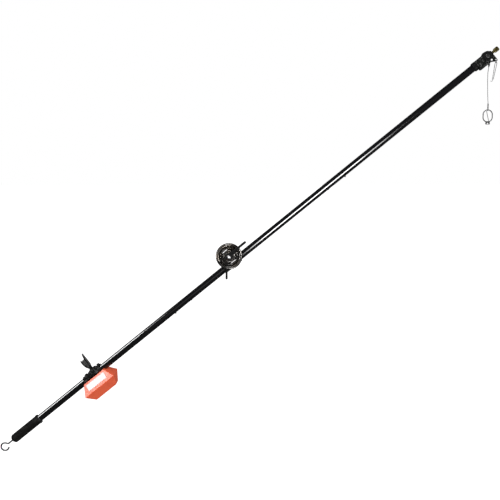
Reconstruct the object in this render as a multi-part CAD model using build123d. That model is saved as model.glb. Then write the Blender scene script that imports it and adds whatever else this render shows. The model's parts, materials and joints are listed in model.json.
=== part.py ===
from build123d import *
import math
import os

# Counterweighted studio boom arm on a tilting pivot, in millimetres.
#
# Row frame: +Z up, origin at the centre of the stand socket's mouth, -Y is the
# side with the pivot disc.  Everything that tilts is drawn in the boom frame:
# x along the boom towards its head, y across it, z square to it and upwards,
# with the tilt axis through that frame's origin.  on_boom() puts it in place.

# --- stand and pivot -------------------------------------------------------
TILT = 39.0                 # boom angle above the horizontal, as stored
PIVOT_HEIGHT = 50.0         # tilt axis above the socket's mouth
SOCKET_BACK = 40.0          # socket axis behind the boom's centre plane
SOCKET_R = 8.1              # takes a 16 mm stand spigot
SOCKET_DEPTH = 42.0
SOCKET_WALL_R = 14.5
BOLT_R = 5.0
RUN = 0.05                  # running clearance on a radius
GAP = 0.3                   # air between faces that turn past each other
KNOB_DROP = 29.0            # socket lock screw below the tilt axis
DISC_BACK = -27.5           # depth of the disc's rear face
ARM_REACH = 77.0
ARM_RISE = 4.5               # the tilt handle's arm, off the tilt axis
KEY_Z = 23.5                # the disc's keys, above and below the tilt axis
LEVER_X = -35.5             # slide lock, behind the tilt axis
LEVER_Y = (-26.5, -19.5)
SLEEVE_R = 16.4
SLEEVE_BORE = 13.4

# --- boom tube -------------------------------------------------------------
TUBE_R = 12.5
TUBE_BORE = TUBE_R - 1.5
TUBE_Z = -29.0              # tube axis below the tilt axis, in the boom frame
REAR_END = -926.2
REAR_JOINT = -237.6
FRONT_JOINT = 451.0
FRONT_END = 1130.0
COUPLER_OVERLAP = 75.0
BUTTON_FROM_JOINT = 48.0
RIVET_FROM_JOINT = 28.0
CLAMP_REAR = -43.0
CLAMP_FRONT = 24.0
COUPLER_R = TUBE_BORE - 0.08
COUPLER_BORE = COUPLER_R - 2.0
JOINT_LINE = 0.3            # gap between two tube sections
SPRING_TOP = COUPLER_BORE - 2.4

# --- counterweight ---------------------------------------------------------
WEIGHT_X = -666.0
WEIGHT_TOP = -4.0           # heights from the tube axis
WEIGHT_RIDGE = -43.0
WEIGHT_BOTTOM = -77.0
TOP_SIZE = (93.0, 52.0)
RIDGE_SIZE = (134.0, 97.0)
BOTTOM_SIZE = (93.0, 48.0)
PLATE_HALF = 37.5
STEM_X = -659.0
PLATE_TOP = 22.5
BOLT_SPOTS = ((-636.0, 5.5), (-696.0, 3.0))
BOLT_SIDE = 19.0            # bolts on each side of the tube's axis
PLATE_SEAT = 15.5           # the plate's flat, from the tube axis
WING_TURN = 47.0
WING_THICK = 8.0
WING_OUTLINE = (
    (-7.5, 0), (-13, 10), (-16, 24), (-16.5, 38), (-14.5, 45.5), (-9, 44), (-2, 46),
    (5, 55), (9.5, 63), (12, 62.5), (13, 48), (12, 28), (10, 9), (7.5, 0),
)
WING_BASE = 24.0

# --- rear grip and hook ----------------------------------------------------
GRIP_REAR = -1059.0
GRIP_FRONT = -929.5
GRIP_R = 16.6
HOOK_WIRE_R = 3.0
HOOK_R = 14.5
HOOK_X = -1101.0
HOOK_DROP = -1.0
HOOK_SWEEP = 286.0

# --- head ------------------------------------------------------------------
COLLAR_X = 1081.0
HEAD_X = 1096.0
HEAD_FRONT = 1142.0
NOSE_FRONT = 1164.0
STUD_END = 1191.0
STUD_R = 8.0
STUD_SHANK_R = 6.0
HEAD_TOP = 14.5
HEAD_LOW = -22.5
HEAD_SEAM = -4.0
HEAD_HALF_WIDTH = 16.0
HEAD_KNOB = (1141.0, 4.0)
HEAD_KNOB_R = 17.0
LUG_HOLE = (1161.0, -28.0)
LUG_HOLE_R = 2.9
LUG_THICK = 3.0
SMALL_RING_R = 5.5
SMALL_RING_WIRE = 0.9
SMALL_RING_TURN = 52.0
COVER_SCREWS = (1106.0, 1124.0)
PIN_LENGTH = 65.0
PIN_WIRE_R = 0.9
PIN_BEND_R = 3.3
PIN_LEAN = 9.8

# --- hanging wire ----------------------------------------------------------
WIRE_EAR = (1135.0, -25.0)
WIRE_Y = 8.0                # the wire hangs behind the hairpin, clear of it
WIRE_R = 1.0
WIRE_ROUTE = ((0, 0), (-2.2, -14), (-3.0, -30), (-2.3, -62), (-0.6, -99), (1.4, -126))
SLEEVE_LENGTH = 8.0
FERRULE_LENGTH = 19.0
LOOP_R = 3.2
RING_WIDTH = 32.4
RING_HEIGHT = 42.0
RING_WIRE_R = 1.75


# --- frames and plain shapes -----------------------------------------------
def on_boom(shape):
    """Boom frame to row frame."""
    return Pos(0, -SOCKET_BACK, PIVOT_HEIGHT) * Rot(0, -TILT, 0) * shape


def on_stand(shape):
    """Upright frame with the tilt axis through its origin, to row frame."""
    return Pos(0, -SOCKET_BACK, PIVOT_HEIGHT) * shape


def boom_point(x, z):
    """Row X and Z of a boom frame point whose z is counted from the tube axis."""
    t = math.radians(TILT)
    up = z + TUBE_Z
    return (x * math.cos(t) - up * math.sin(t),
            PIVOT_HEIGHT + x * math.sin(t) + up * math.cos(t))


def rod_x(x0, x1, r, y=0.0, z=TUBE_Z):
    return Pos((x0 + x1) / 2, y, z) * Rot(0, 90, 0) * Cylinder(r, x1 - x0)


def rod_y(y0, y1, r, x=0.0, z=0.0):
    return Pos(x, (y0 + y1) / 2, z) * Rot(90, 0, 0) * Cylinder(r, y1 - y0)


def rod_z(z0, z1, r, x=0.0, y=0.0):
    return Pos(x, y, (z0 + z1) / 2) * Cylinder(r, z1 - z0)


def pipe_x(x0, x1, r_out, r_in, z=TUBE_Z):
    return rod_x(x0, x1, r_out, z=z) - rod_x(x0 - 1, x1 + 1, r_in, z=z)


def pipe_y(y0, y1, r_out, r_in, x=0.0, z=0.0):
    return rod_y(y0, y1, r_out, x, z) - rod_y(y0 - 1, y1 + 1, r_in, x, z)


def block(x0, x1, y0, y1, z0, z1):
    centre = Pos((x0 + x1) / 2, (y0 + y1) / 2, (z0 + z1) / 2)
    return centre * Box(x1 - x0, y1 - y0, z1 - z0)


def turned(outline):
    """Solid of revolution about X from (distance along X, radius) points."""
    return revolve(make_face(Polyline(*outline, close=True)), Axis.X)


def turned_x(outline, z=TUBE_Z):
    return Pos(0, 0, z) * turned(outline)


def turned_y(outline, x=0.0, z=0.0):
    return Pos(x, 0, z) * Rot(0, 0, 90) * turned(outline)


def side_plate(outline, y0, y1):
    """Flat plate from an (x, z) outline, from depth y0 to depth y1."""
    face = Rot(90, 0, 0) * make_face(Polyline(*outline, close=True))
    return Pos(0, y1, 0) * extrude(face, y1 - y0, dir=(0, -1, 0))


def wire_along(path, r):
    """Round wire swept along a path drawn in the XY plane."""
    section = Plane(origin=path @ 0, z_dir=path % 0) * Circle(r)
    return sweep(section, path=path)


def hexagon_bar(length, across_flats):
    return extrude(RegularPolygon(across_flats / 2, 6, major_radius=False), length)


# --- stand bracket and pivot -----------------------------------------------
def stand_bracket():
    """Upright socket with the friction face that the boom turns on."""
    low = -PIVOT_HEIGHT
    back = SOCKET_BACK
    face_y = 18.5
    body = rod_z(low, 14, SOCKET_WALL_R, 0, back)
    body += block(-SOCKET_WALL_R, SOCKET_WALL_R, face_y + 6, back, -30, 14)
    body += rod_y(face_y, face_y + 7, 27)
    body += rod_y(back, back + 18, 7.5, 0, -KNOB_DROP)
    body -= rod_z(low - 1, low + SOCKET_DEPTH, SOCKET_R, 0, back)
    body -= rod_y(face_y - 1, back + 20, BOLT_R + 0.1)
    body -= rod_y(back, back + 20, 4.05, 0, -KNOB_DROP)
    return body


def pivot_bolt():
    head_y = SOCKET_BACK + SOCKET_WALL_R + 0.1
    head = Pos(0, head_y, 0) * Rot(-90, 0, 0) * hexagon_bar(6.5, 17)
    return rod_y(-46, head_y + 1, BOLT_R) + head


def friction_washer():
    return pipe_y(17.0, 18.5, 24, BOLT_R + 0.2)


def socket_knob_screw():
    tip = SOCKET_BACK + SOCKET_R + 0.3
    return rod_y(tip, SOCKET_BACK + 34, 4.0, 0, -KNOB_DROP)


def socket_knob():
    """Five-lobed hand knob behind the socket."""
    y0 = SOCKET_BACK + 19
    y1 = y0 + 15
    lobes = 5
    knob = rod_y(y0, y1, 15.5, 0, -KNOB_DROP)
    for i in range(lobes):
        angle = 2 * math.pi * (i + 0.5) / lobes
        x = 18 * math.cos(angle)
        z = -KNOB_DROP + 18 * math.sin(angle)
        knob -= rod_y(y0 - 1, y1 + 1, 6.5, x, z)
    knob += rod_y(y1, y1 + 2, 8, 0, -KNOB_DROP)
    knob -= rod_y(y0 - 1, SOCKET_BACK + 34, 4.0, 0, -KNOB_DROP)
    return knob


# --- tube clamp and disc ---------------------------------------------------
def tube_clamp():
    """Sleeve round the tube with a web up to the tilt axis."""
    body = rod_x(CLAMP_REAR, CLAMP_FRONT, SLEEVE_R)
    body += block(-15, 15, -SLEEVE_R, SLEEVE_R, TUBE_Z, 0)
    body += rod_y(-SLEEVE_R, SLEEVE_R, 15)
    body += rod_y(DISC_BACK, -SLEEVE_R + 1, 19)
    body += rod_y(-18.4, -13, 6.9, LEVER_X, TUBE_Z)
    body -= rod_x(CLAMP_REAR - 1, CLAMP_FRONT + 1, SLEEVE_BORE)
    body -= rod_y(DISC_BACK - 1, SLEEVE_R + 1, BOLT_R + RUN)
    body -= rod_y(-20, -12, 4.05, LEVER_X, TUBE_Z)
    return body


def clamp_liner():
    """Nylon bush that the tube slides in."""
    liner = pipe_x(CLAMP_REAR, CLAMP_FRONT, SLEEVE_BORE, TUBE_R + RUN)
    return liner - rod_y(-20, -10, 4.1, LEVER_X, TUBE_Z)


def pivot_disc():
    """Dished disc: raised rim, groove, dish and stepped hub."""
    bore = BOLT_R + RUN
    outline = (
        (DISC_BACK, bore), (DISC_BACK, 40), (-29.5, 46), (-32, 47.5), (-35.5, 47.2),
        (-38.6, 45.4), (-40, 42.5), (-39.4, 39), (-36.2, 35.4), (-32.2, 34.6),
        (-32.2, 32), (-36.4, 31), (-36.8, 29.6), (-34, 26), (-32.6, 20.5),
        (-34.8, 20), (-35.2, 17), (-34.4, 16.4), (-34.4, 13.5), (-38.5, 13),
        (-39, 12), (-39, bore),
    )
    disc = turned_y(outline)
    for side in (-1, 1):
        z = side * KEY_Z
        disc -= block(-10.8, 10.8, -45, DISC_BACK - 0.1, z - 1.7, z + 1.7)
    return disc


def disc_keys():
    """Two straight keys, parallel to the tube, that stop the disc turning."""
    solids = []
    for side in (-1, 1):
        z = side * KEY_Z
        key = block(-10.6, 10.6, -36.6, DISC_BACK - 0.1, z - 1.5, z + 1.5)
        solids.append(chamfer(key.edges().filter_by(Axis.X).sort_by(Axis.Y)[:2], 0.7))
    return Compound(children=solids)


def thrust_washer():
    return pipe_y(-40.4, -39.3, 12.4, BOLT_R + RUN)


def tilt_handle():
    """Hub with one long arm; screws down on the pivot bolt."""
    y0, y1 = -52.0, -40.7
    hub = turned_y((
        (y1, BOLT_R + RUN), (y1, 12.8), (-44.5, 13.2), (-49, 12.6), (-51.2, 11.2),
        (y0, 9.6), (y0, BOLT_R + RUN),
    ))
    shape = Polyline(
        (8, -6), (30, ARM_RISE - 5), (ARM_REACH, ARM_RISE - 4), (ARM_REACH, ARM_RISE + 4),
        (30, ARM_RISE + 5), (8, ARM_RISE + 7), close=True,
    )
    arm = Pos(0, -43.5, 0) * Rot(90, 0, 0) * extrude(make_face(shape), 7.5)
    arm += rod_y(-51, -43.5, 4, ARM_REACH, ARM_RISE)
    arm = fillet(arm.faces().sort_by(Axis.Y)[0].edges(), 1.5)
    arm -= rod_y(-60, -30, 9, 0, 0)
    return hub + arm


def dome_nut():
    dome = turned_y((
        (-52, 0), (-52, 8.7), (-53.2, 8.6), (-55, 7.9), (-56.6, 6.4), (-57.8, 4.2),
        (-58.4, 2), (-58.5, 0),
    ))
    return dome


def slide_lever():
    """Short lever behind the disc; at rest its arm hangs straight down."""
    y0, y1 = LEVER_Y
    hub = rod_y(y0, y1, 7, LEVER_X, TUBE_Z)
    arm = block(0, 37, y0 + 0.5, y1 - 0.5, -3.8, 3.8)
    arm += rod_y(y0 + 0.5, y1 - 0.5, 3.8, 37, 0)
    hanging = Pos(LEVER_X, 0, TUBE_Z) * Rot(0, 90 + TILT, 0) * arm
    return hub + hanging - rod_y(-24, y1 + 1, 4.0, LEVER_X, TUBE_Z)


def slide_lever_screw():
    return rod_y(-24, -14.2, 4.0, LEVER_X, TUBE_Z)


def slide_pad():
    pad = rod_y(-13.9, -10, 3.9, LEVER_X, TUBE_Z)
    return pad - rod_x(CLAMP_REAR, CLAMP_FRONT, TUBE_R + RUN)


# --- tube sections ---------------------------------------------------------
def pin_down(x, r, depth0, depth1):
    """Pin through the tube's lower wall; depths are radii from the tube axis."""
    return rod_z(TUBE_Z - depth1, TUBE_Z - depth0, r, x, 0)


def tube_section(x0, x1, button_x=None):
    tube = pipe_x(x0, x1, TUBE_R, TUBE_BORE)
    if button_x is not None:
        tube -= pin_down(button_x, 3.3, 5, 20)
    return tube


def coupler(joint_x, outward):
    """Inner spigot across one joint; outward is the side its button is on."""
    body = pipe_x(joint_x - COUPLER_OVERLAP, joint_x + COUPLER_OVERLAP, COUPLER_R, COUPLER_BORE)
    body -= pin_down(joint_x + outward * BUTTON_FROM_JOINT, 3.3, 5, 20)
    return body - pin_down(joint_x - outward * RIVET_FROM_JOINT, 1.6, 5, 20)


def snap_button(joint_x, outward):
    x = joint_x + outward * BUTTON_FROM_JOINT
    proud = TUBE_R + 1.6
    return pin_down(x, 3.1, SPRING_TOP, proud) + Pos(x, 0, TUBE_Z - proud) * Sphere(2.2)


def button_spring(joint_x, outward):
    """Folded leaf spring under the button, inside the coupler."""
    x = joint_x + outward * BUTTON_FROM_JOINT
    low = -SPRING_TOP
    leaf = ((x - 5, low), (x + 5, low), (x + 5, low + 0.5), (x - 5, low + 0.5))
    fold = ((x - 5, low + 0.5), (x - 5, low), (x - 30, 2.0), (x - 26, 6.4), (x + 4, 6.9),
            (x + 4, 6.4), (x - 25.6, 5.9), (x - 29.3, 2.1))
    return Pos(0, 0, TUBE_Z) * (side_plate(leaf, -3, 3) + side_plate(fold, -3, 3))


def joint_rivets():
    """Round-headed rivets that hold the couplers in the centre tube."""
    solids = []
    for joint_x, outward in ((REAR_JOINT, -1), (FRONT_JOINT, 1)):
        x = joint_x - outward * RIVET_FROM_JOINT
        head = Pos(x, 0, TUBE_Z - TUBE_R) * Sphere(2.4) - pin_down(x, 4, 0, TUBE_R - 0.4)
        solids.append(head + pin_down(x, 1.5, COUPLER_BORE - 1, TUBE_R))
    return Compound(children=solids)


def rivet_holes(tube):
    for joint_x, outward in ((REAR_JOINT, -1), (FRONT_JOINT, 1)):
        x = joint_x - outward * RIVET_FROM_JOINT
        tube -= pin_down(x, 1.6, 5, TUBE_R - 0.2)
        tube -= Pos(x, 0, TUBE_Z - TUBE_R) * Sphere(2.45)
    return tube


# --- grip and hook ---------------------------------------------------------
def grip_core():
    """Turned core: plugs the rear tube, carries the grip and the hook."""
    return turned_x((
        (GRIP_REAR + 5, HOOK_WIRE_R + RUN), (GRIP_REAR + 5, 11.5), (GRIP_FRONT - 0.1, 11.5),
        (GRIP_FRONT - 0.1, TUBE_R), (REAR_END - 0.1, TUBE_R), (REAR_END - 0.1, 10.95),
        (REAR_END + 40, 10.95), (REAR_END + 40, 8), (GRIP_REAR + 36, 8),
        (GRIP_REAR + 36, HOOK_WIRE_R + RUN),
    ))


def hand_grip():
    """Rubber sleeve with a domed rear end and a collar step at the front."""
    inner = 11.55
    return turned_x((
        (GRIP_REAR, 4), (GRIP_REAR, 10.5), (GRIP_REAR + 1.5, 13.4), (GRIP_REAR + 4.5, 15.6),
        (GRIP_REAR + 9, GRIP_R), (GRIP_FRONT - 8, GRIP_R), (GRIP_FRONT - 7, 17.8),
        (GRIP_FRONT - 1.5, 17.8), (GRIP_FRONT - 0.2, 16.6), (GRIP_FRONT - 0.2, inner),
        (GRIP_REAR + 4.7, inner), (GRIP_REAR + 4.7, 4),
    ))


def hook():
    """Open screw hook in the boom's upright plane, bulging downwards."""
    blend = 8.0
    run = math.sqrt((HOOK_R + blend) ** 2 - (blend - HOOK_DROP) ** 2)
    bend_x = HOOK_X + run
    start = math.degrees(math.atan2(blend - HOOK_DROP, run))
    shank = Line((GRIP_REAR + 44, 0), (bend_x, 0))
    neck = CenterArc((bend_x, blend), blend, -90, start - 90)
    bowl = CenterArc((HOOK_X, HOOK_DROP), HOOK_R, start, HOOK_SWEEP)
    path = shank + neck + bowl
    return Pos(0, 0, TUBE_Z) * Rot(90, 0, 0) * wire_along(path, HOOK_WIRE_R)


def hook_washer():
    return pipe_x(GRIP_REAR - 2.3, GRIP_REAR - GAP, 8, HOOK_WIRE_R)


def hook_nut():
    x0 = GRIP_REAR + 36 + GAP
    nut = Pos(x0, 0, TUBE_Z) * Rot(0, 90, 0) * hexagon_bar(6, 11)
    return nut - rod_x(x0 - 1, x0 + 8, HOOK_WIRE_R)


# --- counterweight ---------------------------------------------------------
def counterweight_body():
    """Cast weight with six-sided outlines and a groove that seats the tube."""
    levels = ((WEIGHT_BOTTOM, BOTTOM_SIZE), (WEIGHT_RIDGE, RIDGE_SIZE), (WEIGHT_TOP, TOP_SIZE))
    faces = [Pos(WEIGHT_X, 0, TUBE_Z + z) * Rectangle(*size) for z, size in levels]
    body = loft(faces, ruled=True)
    body = fillet(body.edges(), 2.2)
    body -= rod_x(WEIGHT_X - 80, WEIGHT_X + 80, TUBE_R + 0.3)
    for x, y, _ in bolt_places():
        body -= rod_z(TUBE_Z - 32, TUBE_Z, 3.0, x, y)
    return body


def bolt_places():
    return [(x, side * BOLT_SIDE, head) for x, head in BOLT_SPOTS for side in (-1, 1)]


def weight_label():
    """Blank plate on the upper front facet."""
    fall = WEIGHT_TOP - WEIGHT_RIDGE
    spread = (RIDGE_SIZE[1] - TOP_SIZE[1]) / 2
    lean = math.degrees(math.atan2(spread, fall))
    slope = math.hypot(fall, spread)
    along = 20.5 / slope
    y = -TOP_SIZE[1] / 2 - spread * along
    z = TUBE_Z + WEIGHT_TOP - fall * along
    plate = RectangleRounded(82, 24, 1.2)
    return Pos(WEIGHT_X, y, z) * Rot(90 - lean, 0, 0) * extrude(plate, 0.8)


def clamp_plate():
    """Saddle over the tube, thick in the middle where the wing screw goes in."""
    base = TUBE_Z + 0.5
    edge = TUBE_Z + PLATE_SEAT
    crown = TUBE_Z + PLATE_TOP
    x0 = WEIGHT_X - PLATE_HALF
    x1 = WEIGHT_X + PLATE_HALF
    outline = ((x0, base), (x1, base), (x1, edge), (STEM_X + 16, edge), (STEM_X + 9, crown),
               (STEM_X - 9, crown), (x0 + 15, edge), (x0 + 3, edge), (x0, edge - 2))
    plate = side_plate(outline, -26, 26)
    plate = chamfer(plate.edges().filter_by(Axis.X).group_by(Axis.Z)[-1], 5)
    plate -= rod_x(x0 - 1, x1 + 1, 13.6)
    plate -= rod_z(TUBE_Z, TUBE_Z + 15.2, 6.4, STEM_X)
    plate -= rod_z(TUBE_Z, crown + 1, 4.05, STEM_X)
    for x, y, _ in bolt_places():
        plate -= rod_z(TUBE_Z - 5, TUBE_Z + 30, 3.15, x, y)
    return plate


def plate_pad():
    """Rubber half lining between plate and tube."""
    pad = pipe_x(WEIGHT_X - PLATE_HALF, WEIGHT_X + PLATE_HALF, 13.55, TUBE_R + 0.3)
    pad -= block(WEIGHT_X - 60, WEIGHT_X + 60, -20, 20, TUBE_Z - 20, TUBE_Z + 1.5)
    return pad - rod_z(TUBE_Z, TUBE_Z + 20, 6.4, STEM_X)


def clamp_bolts():
    """Four screws that draw plate and weight together on the tube."""
    solids = []
    for x, y, head_height in bolt_places():
        seat = TUBE_Z + PLATE_SEAT
        head = Pos(x, y, seat) * hexagon_bar(head_height, 10)
        solids.append(head + rod_z(TUBE_Z - 31, seat, 3.0, x, y))
    return Compound(children=solids)


def weight_pad():
    return rod_z(TUBE_Z + TUBE_R + 0.3, TUBE_Z + 15, 6.2, STEM_X)


def weight_wing_stud():
    return rod_z(TUBE_Z + 15.3, TUBE_Z + 34, 4.0, STEM_X)


def weight_wing():
    """Wing handle with one long and one short wing."""
    face = make_face(Polyline(*WING_OUTLINE, close=True))
    slab = Pos(0, WING_THICK / 2, 0) * Rot(90, 0, 0) * extrude(face, WING_THICK)
    wing = Rot(0, 0, WING_TURN) * (rod_z(0, 13, 7) + slab)
    wing -= rod_z(-1, 10, 4.0)
    return Pos(STEM_X, 0, TUBE_Z + WING_BASE) * wing


# --- head ------------------------------------------------------------------
def head_collar():
    return turned_x((
        (COLLAR_X, TUBE_R + 0.1), (COLLAR_X, 14.5), (COLLAR_X + 2, 16), (HEAD_X - 3, 16),
        (HEAD_X - 0.1, 14.8), (HEAD_X - 0.1, TUBE_R + 0.1),
    ))


def nose(grow=0.0):
    """Tapered front of the head round the stud."""
    return turned_x((
        (HEAD_FRONT - 6, 0), (HEAD_FRONT - 6, 13.5 + grow), (HEAD_FRONT + 8, 13 + grow),
        (NOSE_FRONT - 1.5, 10.5 + grow), (NOSE_FRONT, 9 + grow), (NOSE_FRONT, 0),
    ))


def head_body():
    """Upper casting: holds the tube and carries the stud's nose."""
    low = TUBE_Z + HEAD_SEAM
    top = TUBE_Z + HEAD_TOP
    body = block(HEAD_X, HEAD_FRONT, -HEAD_HALF_WIDTH, HEAD_HALF_WIDTH, low, top)
    body = fillet(body.edges().filter_by(Axis.X).group_by(Axis.Z)[-1], 7)
    knob_x, knob_z = HEAD_KNOB
    body += rod_y(-HEAD_HALF_WIDTH, 10, HEAD_KNOB_R - 2, knob_x, TUBE_Z + knob_z)
    body += nose()
    body -= rod_x(HEAD_X - 1, FRONT_END + 0.2, TUBE_R + 0.1)
    body -= block(HEAD_X - 1, HEAD_FRONT + 40, -30, 30, low - 30, low)
    body -= rod_x(FRONT_END, NOSE_FRONT + 1, STUD_SHANK_R + RUN)
    body -= rod_y(-30, 0, 3.05, knob_x, TUBE_Z + knob_z)
    return body


def head_cover():
    """Lower casting under the seam, with the ear that holds the wire."""
    low = TUBE_Z + HEAD_LOW
    seam = TUBE_Z + HEAD_SEAM
    cover = block(HEAD_X, HEAD_FRONT, -HEAD_HALF_WIDTH, HEAD_HALF_WIDTH, low, seam - 0.1)
    cover = fillet(cover.edges().filter_by(Axis.X).group_by(Axis.Z)[0], 8)
    ear_x, ear_z = WIRE_EAR
    y0, y1 = WIRE_Y - 2, WIRE_Y + 2
    cover += block(ear_x - 3.5, ear_x + 3.5, y0, y1, TUBE_Z + ear_z, low + 2)
    cover += rod_y(y0, y1, 3.5, ear_x, TUBE_Z + ear_z)
    cover -= rod_x(HEAD_X - 1, FRONT_END + 0.2, TUBE_R + 0.1)
    chin = nose() - block(HEAD_X, NOSE_FRONT + 1, -20, 20, seam - 0.1, seam + 30)
    cover += chin - block(HEAD_X, HEAD_FRONT - 1, -20, 20, low - 5, seam)
    cover -= rod_x(FRONT_END, NOSE_FRONT + 1, STUD_SHANK_R + RUN)
    cover -= rod_y(y0 - 1, y1 + 1, 1.3, ear_x, TUBE_Z + ear_z)
    for x in COVER_SCREWS:
        cover -= rod_z(low - 1, low + 3, 3.1, x)
    return cover


def cover_screws():
    low = TUBE_Z + HEAD_LOW
    solids = []
    for x in COVER_SCREWS:
        head = rod_z(low - 0.6, low + 2.9, 3.0, x)
        socket = Pos(x, 0, low - 0.7) * hexagon_bar(2, 3)
        solids.append(head - socket)
    return Compound(children=solids)


def head_lug():
    """Flat bracket under the nose with a window and the hole for the ring."""
    hole_x, hole_z = LUG_HOLE
    z = TUBE_Z
    outline = (
        (HEAD_FRONT + 0.1, z - 10), (NOSE_FRONT + 1.5, z - 8), (NOSE_FRONT + 1.5, z - 20),
        (hole_x + 5, z + hole_z), (hole_x + 3, z + hole_z - 4.6), (hole_x - 2.5, z + hole_z - 5),
        (HEAD_FRONT + 0.1, z - 22.4),
    )
    lug = side_plate(outline, -LUG_THICK / 2, LUG_THICK / 2)
    lug -= nose(0.1)
    lug -= rod_x(NOSE_FRONT - 1, STUD_END, STUD_R + 1)
    lug -= rod_y(-5, 5, 3.3, HEAD_FRONT + 7.4, z - 18.2)
    return lug - rod_y(-5, 5, LUG_HOLE_R, hole_x, z + hole_z)


def head_knob():
    """Round fluted knob that locks the stud."""
    knob_x, knob_z = HEAD_KNOB
    z = TUBE_Z + knob_z
    y_back = -HEAD_HALF_WIDTH - GAP
    knob = turned_y((
        (y_back, 0), (y_back, 14.5), (y_back - 2, HEAD_KNOB_R), (y_back - 9, HEAD_KNOB_R),
        (y_back - 11.5, 15), (y_back - 12, 12), (y_back - 11, 8), (y_back - 11, 0),
    ), knob_x, z)
    flutes = 18
    for i in range(flutes):
        angle = 2 * math.pi * i / flutes
        x = knob_x + 18.0 * math.cos(angle)
        knob -= rod_y(y_back - 13, y_back + 1, 1.7, x, z + 18.0 * math.sin(angle))
    return knob - rod_y(y_back - 8, y_back + 1, 3.0, knob_x, z)


def head_knob_cap():
    knob_x, knob_z = HEAD_KNOB
    y_face = -HEAD_HALF_WIDTH - GAP - 11
    return turned_y((
        (y_face, 0), (y_face, 7.2), (y_face - 0.9, 6.8), (y_face - 1.6, 4.5), (y_face - 1.9, 0),
    ), knob_x, TUBE_Z + knob_z)


def head_knob_screw():
    knob_x, knob_z = HEAD_KNOB
    return rod_y(-HEAD_HALF_WIDTH - GAP - 8, -STUD_SHANK_R - 0.2, 3.0, knob_x, TUBE_Z + knob_z)


def lamp_stud():
    """16 mm stud with a waist behind its tip and a threaded end."""
    stud = turned_x((
        (FRONT_END + 2, 0), (FRONT_END + 2, STUD_SHANK_R), (NOSE_FRONT + 0.6, STUD_SHANK_R),
        (NOSE_FRONT + 1.4, 4.8),
        (NOSE_FRONT + 8, 4.8), (NOSE_FRONT + 11, STUD_R), (STUD_END - 1.2, STUD_R),
        (STUD_END, STUD_R - 1.2), (STUD_END, 0),
    ))
    return stud - rod_x(STUD_END - 10, STUD_END + 1, 3.2)


# --- small ring, hairpin ---------------------------------------------------
def down(distance):
    """Offset in the boom frame of a point that far straight below another."""
    t = math.radians(TILT)
    return (-distance * math.sin(t), -distance * math.cos(t))


def small_ring():
    """Ring through the lug's hole, hanging straight down from it."""
    dx, dz = down(SMALL_RING_R)
    x = LUG_HOLE[0] + dx
    z = TUBE_Z + LUG_HOLE[1] + dz
    ring = Rot(90, 0, 0) * Torus(SMALL_RING_R, SMALL_RING_WIRE)
    return Pos(x, 0, z) * Rot(0, TILT, 0) * Rot(0, 0, SMALL_RING_TURN) * ring


def r_pin():
    """Hairpin: round bend at the top, two legs that close up, one curled tip."""
    bend = PIN_BEND_R
    left_leg = Line((-bend, 0), (-1.2, -PIN_LENGTH + 6))
    top = ThreePointArc((-bend, 0), (0, bend), (bend, 0))
    right_leg = Line((bend, 0), (1.6, -PIN_LENGTH + 9))
    curl = ThreePointArc((-1.2, -PIN_LENGTH + 6), (-3.0, -PIN_LENGTH + 1.2), (-6.2, -PIN_LENGTH + 3.4))
    path = Wire([curl, left_leg, top, right_leg])
    pin = Rot(90, 0, 0) * wire_along(path, PIN_WIRE_R)
    dx, dz = down(2 * SMALL_RING_R)
    x = LUG_HOLE[0] + dx
    z = TUBE_Z + LUG_HOLE[1] + dz
    drop = PIN_BEND_R - PIN_WIRE_R - SMALL_RING_WIRE - 0.35
    inner_x, inner_z = down(drop)
    return Pos(x + inner_x, 0, z + inner_z) * Rot(0, TILT + PIN_LEAN, 0) * pin


# --- wire, ferrules, ring --------------------------------------------------
def wire_anchor():
    x, z = WIRE_EAR
    return rod_y(WIRE_Y - 4.2, WIRE_Y + 4.2, 1.2, x, TUBE_Z + z)


def sleeve_bottom():
    x, z = boom_point(*WIRE_EAR)
    return (x - 0.6, z - 3.0 - SLEEVE_LENGTH)


def wire_points():
    x0, z0 = sleeve_bottom()
    return [(x0 + x, z0 + z) for x, z in WIRE_ROUTE]


def hung_at(x, z, shape=None):
    """Row frame place of a piece of the wire; a shape drawn in XY stands upright there."""
    place = Pos(x, WIRE_Y - SOCKET_BACK, z)
    return place if shape is None else place * Rot(90, 0, 0) * shape


def wire_sleeve():
    """Upper crimp, drawn from the anchor pin: two cheeks and the sleeve below them."""
    x, z = boom_point(*WIRE_EAR)
    sx, sz = sleeve_bottom()
    sleeve = rod_z(sz - z + 0.35, sz - z + 6.35, 1.9, sx - x)
    sleeve += block(sx - x - 1.9, sx - x + 1.9, -4.0, 4.0, -6.4, -4.8)
    for y0 in (-4.0, 2.4):
        sleeve += block(-2.2, 2.2, y0, y0 + 1.6, -6.4, 0)
        sleeve += rod_y(y0, y0 + 1.6, 2.2)
    return hung_at(x, z) * (sleeve - rod_y(-6, 6, 1.25))


def wire_rope():
    points = wire_points()
    runs = list(zip(points[:-1], points[1:]))
    lengths = [math.dist(a, b) for a, b in runs]
    radii = []
    for i in range(1, len(points) - 1):
        before = Vector(*points[i]) - Vector(*points[i - 1])
        after = Vector(*points[i + 1]) - Vector(*points[i])
        half_turn = math.radians(before.get_angle(after)) / 2
        radii.append(0.45 * min(lengths[i - 1], lengths[i]) / math.tan(half_turn))
    print("wire radii", [round(r) for r in radii])
    path = FilletPolyline(*points, radius=radii)
    rope = hung_at(0, 0, wire_along(path, WIRE_R))
    from_volume = rope.volume / (math.pi * WIRE_R ** 2)
    print("wire length", round(path.length, 1), "from volume", round(from_volume, 1))
    return rope


def ring_top():
    """Row X and Z of the oval ring's uppermost point on its wire's centreline."""
    x, z = wire_points()[-1]
    return (x, z - FERRULE_LENGTH - LOOP_R)


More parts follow.
